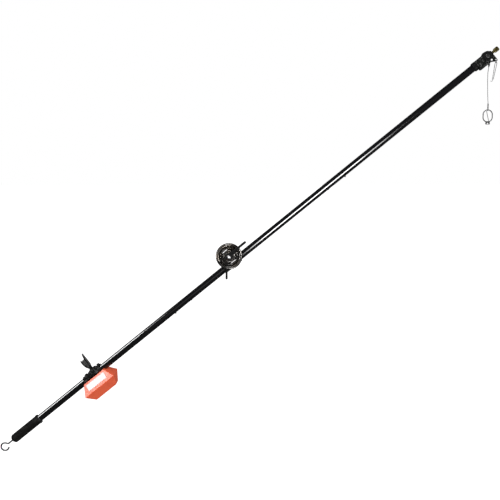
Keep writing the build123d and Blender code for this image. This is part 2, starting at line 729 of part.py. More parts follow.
def wire_ferrule():
    """Crimp on the wire's lower end with the small loop that holds the ring."""
    barrel = rod_z(-FERRULE_LENGTH - 0.1, -0.1, 2.1)
    loop = Pos(0, 0, -FERRULE_LENGTH - LOOP_R) * Rot(0, 90, 0) * Torus(LOOP_R, WIRE_R)
    return hung_at(*wire_points()[-1]) * (barrel + loop)


def oval_path(width, height):
    r = width / 2
    half = height / 2 - r
    return Wire([
        Line((r, -half), (r, half)),
        ThreePointArc((r, half), (0, half + r), (-r, half)),
        Line((-r, half), (-r, -half)),
        ThreePointArc((-r, -half), (0, -half - r), (r, -half)),
    ])


def at_ring(shape):
    x, z = ring_top()
    return hung_at(x, z - RING_HEIGHT / 2, shape)


def pull_ring():
    return at_ring(wire_along(oval_path(RING_WIDTH, RING_HEIGHT), RING_WIRE_R))


def ring_gate():
    """Thin spring wire inside the ring."""
    path = Line((-4.4, RING_HEIGHT / 2 - 3.6), (4.0, -RING_HEIGHT / 2 + 3.0))
    return at_ring(wire_along(path, 1.0))


def ring_clasp():
    """Square clasp with a window, clamped on the ring's lowest stretch."""
    half = RING_HEIGHT / 2
    plate = Pos(0.5, -half - 3.2, 0) * Box(14.5, 11.5, 5.5)
    plate = fillet(plate.edges().filter_by(Axis.Z), 2)
    window = Pos(0.5, -half - 5.2, 0) * Box(6.5, 3.6, 8)
    return at_ring(plate - window) - pull_ring() - ring_gate()


# --- every piece, by the node it is written to -----------------------------
def all_parts():
    parts = {
        "stand_bracket": on_stand(stand_bracket()),
        "pivot_bolt": on_stand(pivot_bolt()),
        "friction_washer": on_stand(friction_washer()),
        "socket_knob_screw": on_stand(socket_knob_screw()),
        "socket_knob": on_stand(socket_knob()),
        "tube_clamp": on_boom(tube_clamp()),
        "clamp_liner": on_boom(clamp_liner()),
        "pivot_disc": on_boom(pivot_disc()),
        "disc_keys": on_boom(disc_keys()),
        "thrust_washer": on_boom(thrust_washer()),
        "tilt_handle": on_boom(tilt_handle()),
        "dome_nut": on_boom(dome_nut()),
        "slide_lever": on_boom(slide_lever()),
        "slide_lever_screw": on_boom(slide_lever_screw()),
        "slide_pad": on_boom(slide_pad()),
        "grip_core": on_boom(grip_core()),
        "hand_grip": on_boom(hand_grip()),
        "hook": on_boom(hook()),
        "hook_washer": on_boom(hook_washer()),
        "hook_nut": on_boom(hook_nut()),
        "counterweight_body": on_boom(counterweight_body()),
        "weight_label": on_boom(weight_label()),
        "clamp_plate": on_boom(clamp_plate()),
        "plate_pad": on_boom(plate_pad()),
        "clamp_bolts": on_boom(clamp_bolts()),
        "weight_pad": on_boom(weight_pad()),
        "weight_wing": on_boom(weight_wing()),
        "weight_wing_stud": on_boom(weight_wing_stud()),
        "head_collar": on_boom(head_collar()),
        "head_body": on_boom(head_body()),
        "head_cover": on_boom(head_cover()),
        "cover_screws": on_boom(cover_screws()),
        "head_lug": on_boom(head_lug()),
        "head_knob": on_boom(head_knob()),
        "head_knob_cap": on_boom(head_knob_cap()),
        "head_knob_screw": on_boom(head_knob_screw()),
        "lamp_stud": on_boom(lamp_stud()),
        "small_ring": on_boom(small_ring()),
        "r_pin": on_boom(r_pin()),
        "wire_anchor": on_boom(wire_anchor()),
        "wire_sleeve": wire_sleeve(),
        "wire_rope": wire_rope(),
        "wire_ferrule": wire_ferrule(),
        "pull_ring": pull_ring(),
        "ring_gate": ring_gate(),
        "ring_clasp": ring_clasp(),
    }
    parts.update(tube_parts())
    return parts


def tube_parts():
    rear_button_x = REAR_JOINT - BUTTON_FROM_JOINT
    front_button_x = FRONT_JOINT + BUTTON_FROM_JOINT
    line = JOINT_LINE / 2
    return {
        "center_tube": on_boom(rivet_holes(tube_section(REAR_JOINT + line, FRONT_JOINT - line))),
        "rear_tube": on_boom(tube_section(REAR_END, REAR_JOINT - line, rear_button_x)),
        "front_tube": on_boom(tube_section(FRONT_JOINT + line, FRONT_END, front_button_x)),
        "rear_coupler": on_boom(coupler(REAR_JOINT, -1)),
        "front_coupler": on_boom(coupler(FRONT_JOINT, 1)),
        "joint_rivets": on_boom(joint_rivets()),
        "rear_button": on_boom(snap_button(REAR_JOINT, -1)),
        "front_button": on_boom(snap_button(FRONT_JOINT, 1)),
        "rear_button_spring": on_boom(button_spring(REAR_JOINT, -1)),
        "front_button_spring": on_boom(button_spring(FRONT_JOINT, 1)),
    }


def main():
    os.makedirs("parts", exist_ok=True)
    for name, shape in all_parts().items():
        export_step(shape, f"parts/{name}.step")


main()
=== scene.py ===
"""Counterweighted studio boom arm: its looks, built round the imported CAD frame.

Places come from the frame: its joints give the pivot and the boom's direction, and
span() reads where a node is.  Pieces are drawn in millimetres in the boom frame: x along
the boom towards its head, y across it and away from the camera, z square to it and up,
with the tilt axis at its origin.
"""
import json
import math

import bmesh
import bpy
from mathutils import Matrix, Vector
from mathutils.bvhtree import BVHTree


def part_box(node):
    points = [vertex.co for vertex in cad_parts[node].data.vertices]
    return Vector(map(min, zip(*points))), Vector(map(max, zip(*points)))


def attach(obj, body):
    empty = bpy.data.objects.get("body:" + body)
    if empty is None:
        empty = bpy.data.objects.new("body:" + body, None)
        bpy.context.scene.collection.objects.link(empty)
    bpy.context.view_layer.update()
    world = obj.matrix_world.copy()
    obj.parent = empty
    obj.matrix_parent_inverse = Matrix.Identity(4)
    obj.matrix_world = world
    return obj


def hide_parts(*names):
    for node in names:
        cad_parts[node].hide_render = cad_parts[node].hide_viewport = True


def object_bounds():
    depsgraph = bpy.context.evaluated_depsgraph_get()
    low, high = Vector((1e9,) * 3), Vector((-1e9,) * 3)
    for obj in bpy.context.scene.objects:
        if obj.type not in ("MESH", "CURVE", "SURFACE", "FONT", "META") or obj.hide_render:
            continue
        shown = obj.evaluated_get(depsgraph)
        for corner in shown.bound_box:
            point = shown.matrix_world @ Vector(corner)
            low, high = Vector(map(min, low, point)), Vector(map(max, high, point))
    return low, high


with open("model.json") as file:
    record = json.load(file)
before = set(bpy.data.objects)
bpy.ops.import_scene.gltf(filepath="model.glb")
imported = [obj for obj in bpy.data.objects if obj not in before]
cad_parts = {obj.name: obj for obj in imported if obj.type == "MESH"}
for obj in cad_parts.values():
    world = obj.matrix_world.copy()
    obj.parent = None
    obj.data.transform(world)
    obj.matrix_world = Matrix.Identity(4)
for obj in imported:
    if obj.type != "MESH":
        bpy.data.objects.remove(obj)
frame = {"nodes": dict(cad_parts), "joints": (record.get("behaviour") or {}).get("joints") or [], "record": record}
cad_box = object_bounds()

MM = 0.001
JOINTS = {joint["name"]: joint for joint in frame["joints"]}
PIVOT = Vector(JOINTS["boom_tilt"]["pos_m"])
ALONG = Vector(JOINTS["boom_slide"]["axis"]).normalized()
ACROSS = Vector((0, 1, 0))
UP = ALONG.cross(ACROSS)
TILT = math.atan2(ALONG.z, ALONG.x)
BOOM = (Matrix.Translation(PIVOT)
        @ Matrix((ALONG, ACROSS, UP)).transposed().to_4x4()
        @ Matrix.Scale(MM, 4))

TUBE_Z = -29.0                  # the tube's axis in the boom frame
DISC_BORE = 5.05                # bore of the disc and the tilt handle, round the bolt

TOWARDS_CAMERA = Matrix.Rotation(math.radians(-90), 4, "Z")   # turns x to -y
UPWARDS = Matrix.Rotation(math.radians(-90), 4, "Y")          # turns x to z

# The hanging wire leaves the upper sleeve's end, a little below the axis it swings on.
# Its route is in metres: offsets in X and Z from there.
WIRE_EXIT = Vector(JOINTS["wire_swing"]["pos_m"]) + Vector((-0.0006, 0, -0.011))
WIRE_ROUTE = (
    (0.0, 0.0), (-0.0022, -0.014), (-0.003, -0.030), (-0.0023, -0.062),
    (-0.0006, -0.099), (0.0014, -0.126),
)
WIRE_DIAMETER = 0.002


def span(node):
    """Lowest and highest corner of a CAD node in the boom frame, in millimetres."""
    inverse = BOOM.inverted()
    points = [inverse @ v.co for v in frame["nodes"][node].data.vertices]
    low = Vector([min(p[i] for p in points) for i in range(3)])
    high = Vector([max(p[i] for p in points) for i in range(3)])
    return low, high


def at(x, y, z, turn=Matrix()):
    """Place of a piece's own frame at a boom frame point, in millimetres."""
    return BOOM @ Matrix.Translation((x, y, z)) @ turn


# --- camera ----------------------------------------------------------------
def make_camera():
    """Level view across the boom from a little above, with the whole arm in it."""
    distance = 3.3
    pitch = math.radians(8)
    roll = math.radians(0.2)
    target = PIVOT + Vector((0.0765, 0, 0.0175))
    data = bpy.data.cameras.new("camera")
    data.sensor_width = 36
    data.lens = 66
    camera = bpy.data.objects.new("camera", data)
    camera.location = target + distance * Vector((0, -math.cos(pitch), math.sin(pitch)))
    camera.rotation_euler = (math.radians(90) - pitch, roll, 0)
    bpy.context.scene.collection.objects.link(camera)
    bpy.context.scene.camera = camera


# --- materials -------------------------------------------------------------
class Paint:
    """One Principled material and the nodes that vary it over the surface."""

    def __init__(self, name, color, metallic=0.0, **sockets):
        self.material = bpy.data.materials.new(name)
        self.material.use_nodes = True
        self.tree = self.material.node_tree
        self.shader = next(n for n in self.tree.nodes if n.type == "BSDF_PRINCIPLED")
        self.color = (*color, 1.0)
        self.normal = None
        self.set("Base Color", self.color)
        self.set("Metallic", metallic)
        for socket, value in sockets.items():
            self.set(socket.replace("_", " "), value)
        place = self.add("TexCoord", {}, "Object")
        self.point = self.add("Mapping", {
            "Vector": place, "Location": PIVOT, "Rotation": (0, -TILT, 0),
        }, vector_type="TEXTURE")

    def set(self, socket, value):
        """Give the shader's socket a value, or a link to another socket."""
        self._fill(self.shader.inputs[socket], value)

    def _fill(self, socket, value):
        if isinstance(value, bpy.types.NodeSocket):
            self.tree.links.new(value, socket)
        else:
            socket.default_value = value

    def add(self, kind, inputs, output=0, **settings):
        """A node with its inputs filled; gives back one of its outputs."""
        made = self.tree.nodes.new("ShaderNode" + kind)
        for key, value in settings.items():
            setattr(made, key, value)
        for key, value in inputs.items():
            self._fill(made.inputs[key], value)
        return made.outputs[output]

    def noise(self, scale, stretch=(1, 1, 1), detail=3.0):
        """Noise over the boom frame, in cycles per metre."""
        vector = self.add("Mapping", {"Vector": self.point, "Scale": stretch})
        return self.add("TexNoise", {
            "Vector": vector, "Scale": scale, "Detail": detail, "Roughness": 0.55,
        })

    def spots(self, scale):
        """Distance to the nearest of many scattered points, for grain and pitting."""
        return self.add("TexVoronoi", {"Vector": self.point, "Scale": scale}, "Distance")

    def wear(self):
        """1 on a piece's rounded edges and 0 elsewhere."""
        return self.add("Attribute", {}, "Fac", attribute_name="wear")

    def ramp(self, value, low, high, out_low=0.0, out_high=1.0):
        """The value's range low to high, eased onto out_low to out_high."""
        return self.add("MapRange", {
            "Value": value, "From Min": low, "From Max": high,
            "To Min": out_low, "To Max": out_high,
        }, interpolation_type="SMOOTHSTEP")

    def math(self, operation, a, b=0.0):
        """Two values, or one, put through a Math node."""
        return self.add("Math", {0: a, 1: b}, operation=operation)

    def tint(self, amount, color):
        """Mix another colour over what the material has so far."""
        self.color = self.add("Mix", {0: amount, 6: self.color, 7: (*color, 1.0)}, 2,
                              data_type="RGBA")
        self.set("Base Color", self.color)

    def bump(self, height, depth, strength):
        """Small relief, depth in millimetres."""
        inputs = {"Height": height, "Distance": depth * MM, "Strength": strength}
        if self.normal is not None:
            inputs["Normal"] = self.normal
        self.normal = self.add("Bump", inputs)
        self.set("Normal", self.normal)

    def radius(self):
        """Distance from the tilt axis, in metres."""
        flat = self.add("VectorMath", {0: self.point, 1: (1, 0, 1)}, operation="MULTIPLY")
        return self.add("VectorMath", {0: flat}, "Value", operation="LENGTH")


def tube_black():
    """Gloss black anodised tube with faint drawn lines and sliding scuffs."""
    paint = Paint("black_tube", (0.003, 0.003, 0.0035), Specular_IOR_Level=0.6)
    drawn = paint.noise(900, (0.004, 1, 1), 2.0)
    scuffs = paint.ramp(paint.noise(1400, (0.02, 1, 1), 4.0), 0.62, 0.78)
    cloudy = paint.noise(14, (0.5, 1, 1))
    paint.tint(paint.math("MULTIPLY", scuffs, 0.2), (0.03, 0.03, 0.03))
    rough = paint.ramp(cloudy, 0.35, 0.7, 0.10, 0.15)
    paint.set("Roughness", paint.math("ADD", rough, paint.math("MULTIPLY", scuffs, 0.18)))
    paint.bump(drawn, 0.006, 0.5)
    return paint.material


def smoked_chrome():
    """Dark turned chrome of the pivot disc, with a painted brownish reflection in cloudy patches."""
    paint = Paint("dark_chrome", (0.15, 0.145, 0.14), metallic=1.0)
    ring = paint.math("SINE", paint.math("MULTIPLY", paint.radius(), 9000.0))
    cloudy = paint.noise(38)
    # painted reflection: brown tint over cloudy noise patches
    paint.tint(paint.ramp(cloudy, 0.42, 0.62, 0.0, 0.4), (0.15, 0.115, 0.08))
    pits = paint.ramp(paint.noise(600, detail=5.0), 0.64, 0.78)
    paint.tint(paint.math("MULTIPLY", pits, 0.3), (0.06, 0.05, 0.045))
    paint.set("Roughness", paint.ramp(paint.noise(90), 0.3, 0.7, 0.14, 0.3))
    paint.bump(ring, 0.003, 0.25)
    return paint.material


def bright_chrome():
    paint = Paint("chrome", (0.64, 0.64, 0.65), metallic=1.0)
    haze = paint.noise(260, detail=4.0)
    paint.tint(paint.ramp(haze, 0.62, 0.8, 0.0, 0.35), (0.42, 0.4, 0.37))
    paint.set("Roughness", paint.ramp(haze, 0.35, 0.75, 0.05, 0.16))
    paint.bump(paint.noise(2600, (0.15, 1, 1)), 0.003, 0.4)
    return paint.material


def satin_steel():
    paint = Paint("steel", (0.34, 0.34, 0.34), metallic=1.0)
    brushed = paint.noise(2600, (0.06, 1, 1), 2.0)
    paint.tint(paint.ramp(paint.noise(220), 0.5, 0.75, 0.0, 0.5), (0.2, 0.19, 0.175))
    paint.set("Roughness", paint.ramp(brushed, 0.3, 0.7, 0.34, 0.5))
    paint.bump(brushed, 0.008, 0.5)
    return paint.material


def black_enamel():
    """Fine-grained satin black on castings, rubbed through a little on edges."""
    paint = Paint("black_casting", (0.004, 0.0045, 0.004), Specular_IOR_Level=0.35)
    grain = paint.noise(1500, detail=2.0)
    rubbed = paint.math("MULTIPLY", paint.wear(), paint.ramp(paint.noise(170), 0.5, 0.66))
    paint.tint(paint.math("MULTIPLY", rubbed, 0.5), (0.10, 0.10, 0.10))
    paint.set("Roughness", paint.ramp(paint.noise(60), 0.3, 0.7, 0.34, 0.5))
    paint.bump(grain, 0.035, 0.6)
    paint.bump(paint.noise(140), 0.08, 0.25)
    return paint.material


def black_moulding():
    """Satin moulded plastic with a spark-eroded texture."""
    paint = Paint("black_plastic", (0.004, 0.004, 0.0042), Specular_IOR_Level=0.4)
    texture = paint.spots(1700)
    rubbed = paint.math("MULTIPLY", paint.wear(), paint.ramp(paint.noise(220), 0.45, 0.7))
    paint.tint(paint.math("MULTIPLY", rubbed, 0.35), (0.07, 0.07, 0.07))
    paint.set("Roughness", paint.ramp(paint.noise(120), 0.3, 0.7, 0.36, 0.52))
    paint.bump(texture, 0.03, 0.45)
    return paint.material


def grip_rubber():
    """Dull rubber, lighter grey in patches of dust and painted sheen, with a pebbled skin."""
    paint = Paint("rubber", (0.004, 0.004, 0.0038), Specular_IOR_Level=0.45)
    dust_and_sheen = paint.ramp(paint.noise(55, (0.45, 1, 1), 4.0), 0.48, 0.72)
    # painted sheen and dust: a lighter grey tint over stretched noise patches
    paint.tint(paint.math("MULTIPLY", dust_and_sheen, 0.6), (0.03, 0.03, 0.028))
    paint.set("Roughness", paint.ramp(dust_and_sheen, 0.0, 1.0, 0.5, 0.75))
    paint.bump(paint.spots(900), 0.09, 0.5)
    return paint.material


def orange_enamel():
    """Orange paint over cast iron: orange peel, soft blotches and chips."""
    paint = Paint("orange_paint", (0.66, 0.095, 0.034), Specular_IOR_Level=0.9,
                  Coat_Weight=0.1, Coat_Roughness=0.3)
    blotch = paint.noise(26, detail=4.0)
    paint.tint(paint.ramp(blotch, 0.4, 0.7, 0.0, 0.55), (0.52, 0.062, 0.022))
    chips = paint.ramp(paint.noise(420, detail=5.0), 0.68, 0.74)
    paint.tint(paint.math("MULTIPLY", chips, 0.35), (0.30, 0.05, 0.02))
    paint.set("Roughness", paint.ramp(paint.noise(70), 0.3, 0.7, 0.32, 0.44))
    paint.bump(paint.noise(420, detail=2.0), 0.12, 0.35)
    paint.bump(paint.noise(55, detail=3.0), 0.6, 0.3)
    return paint.material


def label_white():
    paint = Paint("white_label", (0.84, 0.85, 0.88), Specular_IOR_Level=0.5)
    smudge = paint.noise(130, detail=4.0)
    paint.tint(paint.ramp(smudge, 0.5, 0.75, 0.0, 0.5), (0.72, 0.78, 0.76))
    paint.set("Roughness", paint.ramp(smudge, 0.3, 0.7, 0.22, 0.36))
    paint.bump(paint.noise(160), 0.05, 0.2)
    return paint.material


def label_grey():
    paint = Paint("label_rule", (0.33, 0.34, 0.36))
    paint.set("Roughness", paint.ramp(paint.noise(300), 0.3, 0.7, 0.3, 0.45))
    return paint.material


def nylon():
    paint = Paint("nylon", (0.72, 0.71, 0.67), Subsurface_Weight=0.08)
    paint.set("Roughness", paint.ramp(paint.noise(300), 0.3, 0.7, 0.42, 0.6))
    paint.bump(paint.noise(1800), 0.02, 0.4)
    return paint.material


def turned_aluminium():
    paint = Paint("aluminium", (0.58, 0.58, 0.59), metallic=1.0)
    turned = paint.noise(2200, (1, 0.02, 0.02), 2.0)
    paint.set("Roughness", paint.ramp(turned, 0.3, 0.7, 0.2, 0.36))
    paint.bump(turned, 0.01, 0.5)
    return paint.material


def polished_brass():
    """Brass of the lamp stud and the pads, tarnished towards olive."""
    paint = Paint("brass", (0.72, 0.58, 0.22), metallic=1.0)
    tarnish = paint.noise(160, detail=4.0)
    paint.tint(paint.ramp(tarnish, 0.45, 0.7, 0.0, 0.6), (0.34, 0.29, 0.11))
    turned = paint.noise(2400, (1, 0.02, 0.02), 2.0)
    paint.set("Roughness", paint.ramp(turned, 0.3, 0.7, 0.18, 0.34))
    paint.bump(turned, 0.01, 0.5)
    return paint.material


def drawn_wire():
    paint = Paint("wire_steel", (0.56, 0.56, 0.57), metallic=1.0)
    paint.tint(paint.ramp(paint.noise(500), 0.5, 0.72, 0.0, 0.6), (0.3, 0.3, 0.3))
    paint.set("Roughness", paint.ramp(paint.noise(900), 0.3, 0.7, 0.26, 0.42))
    paint.bump(paint.noise(4200), 0.01, 0.4)
    return paint.material


MATERIALS = {
    "black_tube": tube_black(), "dark_chrome": smoked_chrome(), "chrome": bright_chrome(),
    "steel": satin_steel(), "black_casting": black_enamel(), "black_plastic": black_moulding(),
    "nylon": nylon(), "rubber": grip_rubber(), "orange_paint": orange_enamel(),
    "white_label": label_white(), "aluminium": turned_aluminium(), "brass": polished_brass(),
    "wire_steel": drawn_wire(),
}
SLOT_OF = {part["node"]: part["material_slot"] for part in frame["record"]["subparts"]}
BODY_OF = {node: body for body, nodes in frame["record"]["behaviour"]["bodies"].items()
           for node in nodes}


def dress_cad_nodes():
    for name, item in frame["nodes"].items():
        item.data.materials.clear()
        item.data.materials.append(MATERIALS[SLOT_OF[name]])


# --- making meshes ---------------------------------------------------------
def make_piece(name, bm, place, node, crease=34, body=None, slot=None, material=None):
    """Turn a drawn mesh into a piece that rides on a body and stands for a node, if any.

    Faces that meet at more than crease degrees keep a sharp edge between them."""
    bmesh.ops.recalc_face_normals(bm, faces=bm.faces)
    mesh = bpy.data.meshes.new(name)
    bm.to_mesh(mesh)
    bm.free()
    mesh.transform(place)
    mesh.shade_smooth()
    mesh.set_sharp_from_angle(angle=math.radians(crease))
    slot = slot or SLOT_OF[node]
    mesh.materials.append(material or MATERIALS[slot])
    piece = bpy.data.objects.new(name, mesh)
    bpy.context.scene.collection.objects.link(piece)
    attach(piece, body or BODY_OF[node])
    if node:
        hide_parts(node)
    return piece


def rounded(outline, size, closed=True):
    """Outline with each corner replaced by a curve that starts size before it."""
    steps = 4
    count = len(outline)
    made = []
    for i, corner in enumerate(outline):
        corner = Vector(corner)
        if not closed and i in (0, count - 1):
            made.append(corner)
            continue
        before = Vector(outline[i - 1]) - corner
        after = Vector(outline[(i + 1) % count]) - corner
        start = corner + before.normalized() * min(size, 0.45 * before.length)
        end = corner + after.normalized() * min(size, 0.45 * after.length)
        for step in range(steps + 1):
            t = step / steps
            made.append((1 - t) ** 2 * start + 2 * t * (1 - t) * corner + t * t * end)
    return made


def bridge(bm, a, b):
    """Faces between two rings of points; a ring of one point closes to a tip."""
    if len(a) == 1 and len(b) == 1:
        return
    count = max(len(a), len(b))
    for i in range(count):
        j = (i + 1) % count
        corners = [a[i % len(a)], a[j % len(a)], b[j % len(b)], b[i % len(b)]]
        bm.faces.new(list(dict.fromkeys(corners)))


def lathe(outline, turns, ripple=None):
    """Skin turned about x from (distance, radius) points; ripple moves its radius."""
    bm = bmesh.new()
    rings = []
    for x, radius in outline:
        if radius < 1e-6:
            rings.append([bm.verts.new((x, 0, 0))])
            continue
        ring = []
        for i in range(turns):
            angle = 2 * math.pi * i / turns
            r = radius + (ripple(x, radius, angle) if ripple else 0.0)
            ring.append(bm.verts.new((x, r * math.cos(angle), r * math.sin(angle))))
        rings.append(ring)
    for a, b in zip(rings, rings[1:]):
        bridge(bm, a, b)
    if len(rings[0]) > 1 and len(rings[-1]) > 1:
        bridge(bm, rings[-1], rings[0])
    return bm


def loft(sections, sides=24):
    """Closed bar through sections of (centre, half width, half thickness).

    Each section is a superellipse whose width lies in the bar's xz plane, square to its
    run, and whose thickness lies along y."""
    power = 2.6
    bm = bmesh.new()
    centres = [Vector((x, 0, z)) for (x, z), _, _ in sections]
    rings = []
    for i, (_, width, thick) in enumerate(sections):
        run = centres[min(i + 1, len(centres) - 1)] - centres[max(i - 1, 0)]
        side = Vector((run.z, 0, -run.x)).normalized()
        ring = []
        for k in range(sides):
            angle = 2 * math.pi * k / sides
            c, s = math.cos(angle), math.sin(angle)
            u = math.copysign(abs(c) ** (2 / power), c) * width
            v = math.copysign(abs(s) ** (2 / power), s) * thick
            ring.append(bm.verts.new(centres[i] + side * u + Vector((0, v, 0))))
        rings.append(ring)
    for a, b in zip(rings, rings[1:]):
        bridge(bm, a, b)
    bm.faces.new(rings[0])
    bm.faces.new(rings[-1])
    return bm


def smooth_sections(sections):
    """More sections between those given, on a smooth curve through them."""
    steps = 5
    rows = [(x, z, w, t) for (x, z), w, t in sections]
    made = []
    for i in range(len(rows) - 1):
        p0, p1, p2, p3 = (rows[max(0, min(k, len(rows) - 1))] for k in range(i - 1, i + 3))
        for step in range(steps):
            t = step / steps
            row = [0.5 * (2 * b + (c - a) * t + (2 * a - 5 * b + 4 * c - d) * t * t
                          + (3 * b - a - 3 * c + d) * t ** 3)
                   for a, b, c, d in zip(p0, p1, p2, p3)]
            made.append(((row[0], row[1]), row[2], row[3]))
    made.append(sections[-1])
    return made


def swept(points, radius, sides, tips=(False, False)):
    """Round bar along points; a tip that is asked for ends in a dome."""
    dome_angles = [math.radians(d) for d in (25, 50, 70, 84)]
    bm = bmesh.new()
    points = [Vector(p) for p in points]
    radii = [radius] * len(points)
    for end, wanted in enumerate(tips):
        if not wanted:
            continue
        first, second = (points[0], points[1]) if end == 0 else (points[-1], points[-2])
        out = (first - second).normalized()
        dome = [(first + out * radius * math.sin(a), radius * math.cos(a))
                for a in dome_angles]
        if end == 0:
            points = [p for p, _ in reversed(dome)] + points
            radii = [r for _, r in reversed(dome)] + radii
        else:
            points += [p for p, _ in dome]
            radii += [r for _, r in dome]
    normal = (points[1] - points[0]).orthogonal().normalized()
    rings = []
    for i, point in enumerate(points):
        run = (points[min(i + 1, len(points) - 1)] - points[max(i - 1, 0)]).normalized()
        normal = (normal - run * normal.dot(run)).normalized()
        side = run.cross(normal)
        ring = []
        for k in range(sides):
            angle = 2 * math.pi * k / sides
            offset = normal * math.cos(angle) + side * math.sin(angle)
            ring.append(bm.verts.new(point + offset * radii[i]))
        rings.append(ring)
    for a, b in zip(rings, rings[1:]):
        bridge(bm, a, b)
    bm.faces.new(rings[0])
    bm.faces.new(rings[-1])
    return bm


def arc(centre, radius, start, end, steps):
    """Points on an arc in the xz plane, angles in degrees."""
    cx, cz = centre
    turns = [math.radians(start + (end - start) * i / steps) for i in range(steps + 1)]
    return [Vector((cx + radius * math.cos(a), 0, cz + radius * math.sin(a))) for a in turns]


def softened(node, width):
    """Copy of a CAD node with its sharp edges rounded and marked as worn.

    A corner that the rounding throws off the node's surface goes back onto it."""
    sharp_angle = math.radians(32)
    bm = bmesh.new()
    bm.from_mesh(frame["nodes"][node].data)
    surface = BVHTree.FromBMesh(bm)
    bmesh.ops.remove_doubles(bm, verts=bm.verts, dist=2e-6)
    bmesh.ops.dissolve_limit(bm, angle_limit=math.radians(0.5), verts=bm.verts, edges=bm.edges)
    sharp = [e for e in bm.edges
             if len(e.link_faces) == 2 and e.calc_face_angle(0) > sharp_angle]
    made = bmesh.ops.bevel(bm, geom=sharp, offset=width * MM, segments=2, profile=0.5,
                           affect="EDGES", clamp_overlap=False)
    worn = bm.verts.layers.float.new("wear")
    for face in made["faces"]:
        for vert in face.verts:
            vert[worn] = 1.0
            near, _, _, gap = surface.find_nearest(vert.co)
            if gap > width * MM:
                vert.co = near
    make_piece(node + "_soft", bm, Matrix(), node)


# --- the hanging wire ------------------------------------------------------
def wire_line():
    """Points along the wire's smooth route, from its own spline."""
    data = bpy.data.curves.new("wire_route", "CURVE")
    data.dimensions = "3D"
    data.resolution_u = 30
    spline = data.splines.new("NURBS")
    spline.points.add(len(WIRE_ROUTE) - 1)
    for point, (x, z) in zip(spline.points, WIRE_ROUTE):
        point.co = (*(WIRE_EXIT + Vector((x, 0, z))), 1)
    spline.order_u = 3
    spline.use_endpoint_u = True
    holder = bpy.data.objects.new("wire_route", data)
    mesh = bpy.data.meshes.new_from_object(holder)
    line = [v.co.copy() for v in mesh.vertices]
    bpy.data.objects.remove(holder)
    bpy.data.meshes.remove(mesh)
    return line


def spaced(line, step):
    """The line again with points a fixed distance apart."""
    made = [line[0]]
    left = step
    for a, b in zip(line, line[1:]):
        length = (b - a).length
        done = left
        while done <= length:
            made.append(a.lerp(b, done / length))
            done += step
        left = done - length
    made.append(line[-1])
    return made


def stranded_wire():
    """Wire rope of six strands laid round a seventh."""
    lay_length = 0.013
    outer = 6
    strand = WIRE_DIAMETER / 6      # radius of one strand
    line = spaced(wire_line(), 0.0006)
    bm = bmesh.new()
    for number in range(outer + 1):
        points = []
        travelled = 0.0
        for i, point in enumerate(line):
            run = (line[min(i + 1, len(line) - 1)] - line[max(i - 1, 0)]).normalized()
            side = run.cross(ACROSS).normalized()
            if i:
                travelled += (point - line[i - 1]).length
            angle = 2 * math.pi * (travelled / lay_length + number / outer)
            reach = 0.0 if number == outer else 2 * strand
            points.append(point + reach * (math.cos(angle) * side + math.sin(angle) * ACROSS))
        strand_mesh = bpy.data.meshes.new("strand")
        strand_bm = swept(points, strand, sides=8)
        strand_bm.to_mesh(strand_mesh)
        strand_bm.free()
        bm.from_mesh(strand_mesh)
        bpy.data.meshes.remove(strand_mesh)
    wire = make_piece("wire_strands", bm, Matrix(), "wire_rope", crease=60)
    return wire, line


def crimped_ferrule():
    """Barrel with two crimps pressed into it, and the loop that holds the ring."""
    low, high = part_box("wire_ferrule")
    x = (low.x + high.x) / 2
    y = (low.y + high.y) / 2
    radius = 2.1
    length = 19.0
    crimps = (5.0, 13.5)
    crimp_depth = 0.5
    crimp_width = 1.5
    downwards = Matrix.Rotation(math.radians(90), 4, "Y")
    place = Matrix.Translation((x, y, high.z)) @ downwards @ Matrix.Scale(MM, 4)

    def pressed(distance, r, angle):
        near = min(abs(distance - c) for c in crimps)
        along = math.exp(-(near / crimp_width) ** 2)
        return -crimp_depth * along * abs(math.cos(angle)) ** 1.5

    outline = [(0, 0), (0, 1.3), (0, radius - 0.3), (0.4, radius)]
    outline += [(0.4 + (length - 0.8) * i / 30, radius) for i in range(1, 31)]
    outline += [(length, radius - 0.3), (length, 1.2), (length, 0)]
    barrel = make_piece("ferrule_barrel", lathe(outline, 40, pressed), place, "wire_ferrule")
    loop_r = 3.2
    ring = [Vector((length + loop_r + loop_r * math.cos(a), loop_r * math.sin(a), 0))
            for a in (2 * math.pi * i / 48 for i in range(49))]
    loop = make_piece("ferrule_loop", swept(ring, 1.0, 14), place, "wire_ferrule")
    return barrel, loop


def hang_the_wire():
    """The wire between its sleeve and its ferrule."""
    wire, line = stranded_wire()
    barrel, loop = crimped_ferrule()


# --- pivot -----------------------------------------------------------------
def pivot_disc_piece():
    """Turned disc: raised rim, groove, dish and stepped hub."""
    high = span("pivot_disc")[1]
    disc_r = high.x
    outline = [
        (0, DISC_BORE), (0, 40), (2, 46), (4.5, disc_r), (8, disc_r - 0.3), (11.1, 45.4),
        (12.5, 42.5), (11.9, 39), (8.7, 35.4), (4.7, 34.6), (4.7, 32), (8.9, 31),
        (9.3, 29.6), (6.5, 26), (5.1, 20.5), (7.3, 20), (7.7, 17), (6.9, 16.4), (6.9, 13.5),
        (11, 13), (11.5, 12), (11.5, DISC_BORE),
    ]
    disc = lathe(rounded(outline, 1.6), 144)
    make_piece("pivot_disc_turned", disc, at(0, high.y, 0, TOWARDS_CAMERA), "pivot_disc")


